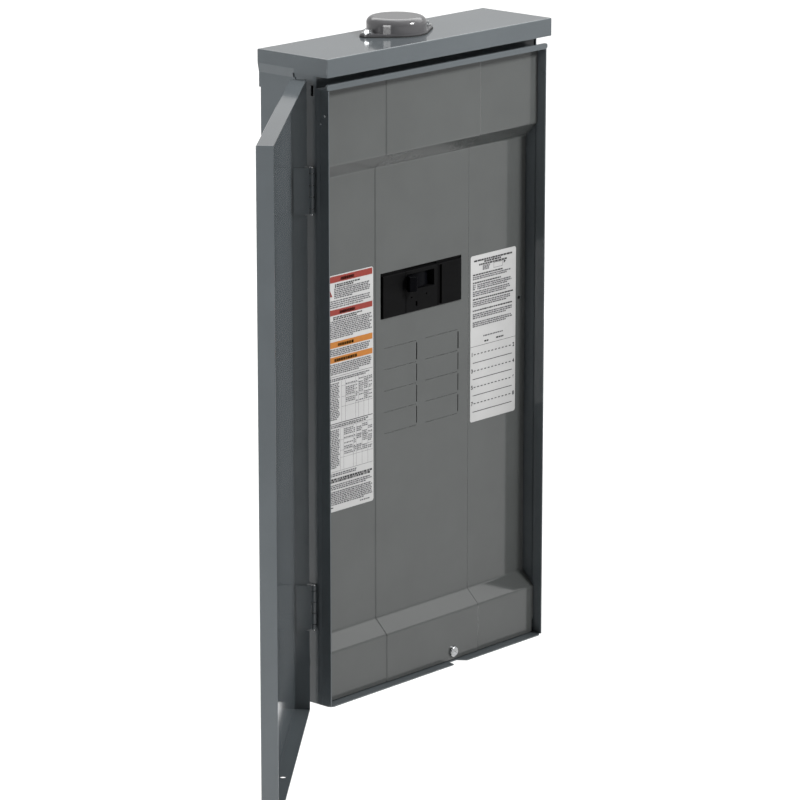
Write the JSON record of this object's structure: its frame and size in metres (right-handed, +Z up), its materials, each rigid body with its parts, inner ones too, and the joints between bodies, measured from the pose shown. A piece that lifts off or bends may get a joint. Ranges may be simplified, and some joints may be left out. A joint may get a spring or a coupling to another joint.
{
  "type": "load center",
  "caption": "Outdoor residential load center: grey rainproof steel enclosure with open side-hinged door, dead front, main breaker and hub closing cap",
  "frame": {"origin": "centre of the back panel's outer face, in the wall plane", "axes": "X across the panel to the right seen from the front, Y into the wall, Z up; the front faces -Y"},
  "size_m": [0.6946, 0.3166, 0.7813],
  "materials": {
    "grey_paint": "gloss",
    "cast_cap": "gloss",
    "zinc_screws": "satin",
    "black_plastic": "matte",
    "black_rubber": "matte",
    "tinned_bus": "satin",
    "galvanized_steel": "satin",
    "aluminium_bar": "satin",
    "pale_plastic": "matte",
    "red_brown_plastic": "matte",
    "green_screw": "satin",
    "label_sheet": "satin"
  },
  "bodies": {
    "enclosure": {"box_wrap": "grey_paint", "bottom_end_wall": "grey_paint", "rain_hood": "grey_paint", "drip_rail": "grey_paint", "hub_gasket": "black_rubber", "hub_closing_cap": "cast_cap", "hub_cap_screws": "zinc_screws", "hinge_box_leaf_upper": "grey_paint", "hinge_box_leaf_lower": "grey_paint", "hinge_pin_upper": "zinc_screws", "hinge_pin_lower": "zinc_screws", "dead_front": "grey_paint", "dead_front_screw": "zinc_screws", "window_filler_left": "black_plastic", "window_filler_right": "black_plastic", "main_breaker_cover": "black_plastic", "main_breaker_base": "black_plastic", "main_breaker_handle_pin": "zinc_screws", "bus_bar_left": "tinned_bus", "bus_bar_right": "tinned_bus", "breaker_rail_left": "galvanized_steel", "breaker_rail_right": "galvanized_steel", "neutral_bar_left": "aluminium_bar", "neutral_bar_right": "aluminium_bar", "neutral_support_left": "pale_plastic", "neutral_support_right": "pale_plastic", "line_lug_left": "aluminium_bar", "line_lug_right": "aluminium_bar", "feed_lug_left": "aluminium_bar", "feed_lug_right": "aluminium_bar", "lug_screws": "zinc_screws", "bus_insulator": "red_brown_plastic", "interior_pan": "galvanized_steel", "pan_screws": "zinc_screws", "neutral_screws": "zinc_screws", "neutral_strap": "aluminium_bar", "neutral_lug_supply": "aluminium_bar", "neutral_lug_feed": "aluminium_bar", "bonding_screw": "green_screw", "label_left": "label_sheet", "label_right": "label_sheet"},
    "door": {"door_pan": "grey_paint", "hinge_door_leaf_upper": "grey_paint", "hinge_door_leaf_lower": "grey_paint"},
    "main_handle": {"main_breaker_handle": "black_plastic"}
  },
  "joints": [
    {"name": "door_hinge", "type": "hinge", "parent": "enclosure", "child": "door", "pos_m": [-0.1912, -0.083, 0], "axis": [0, 0, -1], "range_deg": [-141.4, 38.6]},
    {"name": "main_handle_throw", "type": "hinge", "parent": "enclosure", "child": "main_handle", "pos_m": [-0.004, -0.0396, 0.093], "axis": [0, 0, 1], "range_deg": [0, 52]}
  ]
}
